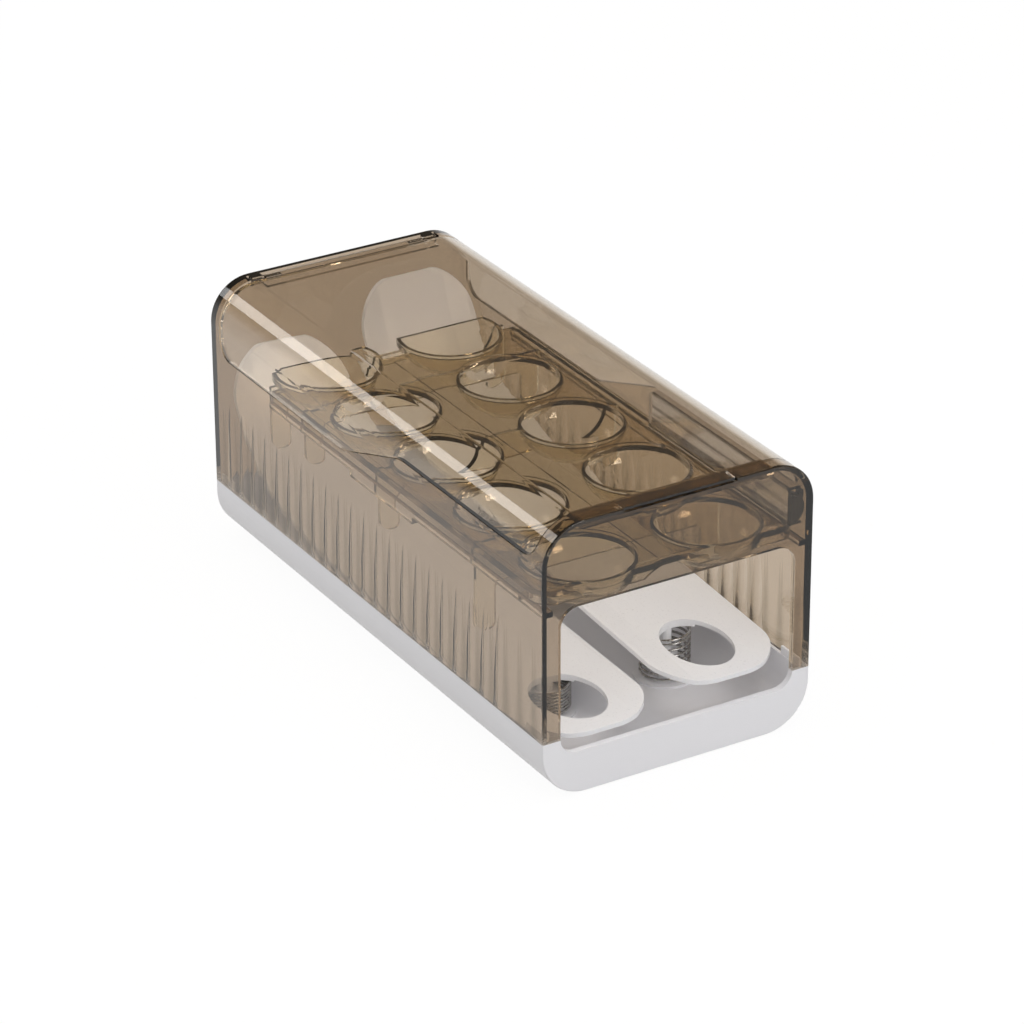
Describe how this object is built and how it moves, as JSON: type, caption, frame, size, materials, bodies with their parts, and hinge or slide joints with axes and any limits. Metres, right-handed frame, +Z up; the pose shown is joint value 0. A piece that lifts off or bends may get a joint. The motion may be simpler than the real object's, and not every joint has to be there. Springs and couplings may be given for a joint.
{
  "type": "egg dispenser",
  "caption": "Clear fridge egg dispenser: a cupped upper tray under a flip lid, over spring-carried egg lanes that slope to a low open front.",
  "frame": {"origin": "on the ground, under the centre of the box", "axes": "+X to the right seen from the open front, +Y towards the rear hinge along the longest side, +Z up"},
  "size_m": [0.14, 0.3064, 0.1344],
  "materials": {
    "white_plastic": "satin moulded white",
    "lane_plastic": "satin moulded white",
    "smoked_plastic": "clear, smoked brown, polished",
    "lid_smoked_plastic": "clear, smoked brown, polished",
    "tray_smoked_plastic": "clear, smoked brown, polished",
    "grey_clear_plastic": "clear grey, polished",
    "insert_plastic": "grey, lightly ribbed",
    "black_plastic": "black, matt",
    "spring_steel": "drawn bright wire",
    "screw_steel": "zinc plated",
    "pin_steel": "dark steel",
    "foot_rubber": "pale grey, matt"
  },
  "bodies": {
    "box": {"base_tray": "white_plastic", "housing": "smoked_plastic", "hinge_pin_left": "pin_steel", "hinge_pin_right": "pin_steel", "egg_tray": "tray_smoked_plastic", "side_holder": "grey_clear_plastic", "side_insert": "insert_plastic", "side_end_cap": "black_plastic", "left_front_spring": "spring_steel", "left_rear_spring": "spring_steel", "right_front_spring": "spring_steel", "right_rear_spring": "spring_steel", "foot_pad_front_left": "foot_rubber", "foot_pad_front_right": "foot_rubber", "foot_pad_rear_left": "foot_rubber", "foot_pad_rear_right": "foot_rubber"},
    "lid": {"lid": "lid_smoked_plastic"},
    "left_lane": {"left_lane": "lane_plastic", "left_lane_screws": "screw_steel"},
    "right_lane": {"right_lane": "lane_plastic", "right_lane_screws": "screw_steel"}
  },
  "joints": [
    {"name": "lid_hinge", "type": "hinge", "parent": "box", "child": "lid", "pos_m": [0, 0.147, 0.1316], "axis": [-1, 0, 0], "range_deg": [0, 95]},
    {"name": "left_lane_float", "type": "slide", "parent": "box", "child": "left_lane", "axis": [0, 0, 1], "range_m": [0, 0.0087], "deforming": ["left_front_spring", "left_rear_spring"]},
    {"name": "right_lane_float", "type": "slide", "parent": "box", "child": "right_lane", "axis": [0, 0, 1], "range_m": [-0.0087, 0], "stiffness_N_per_m": 200, "springref_m": 0.01, "deforming": ["right_front_spring", "right_rear_spring"]}
  ]
}
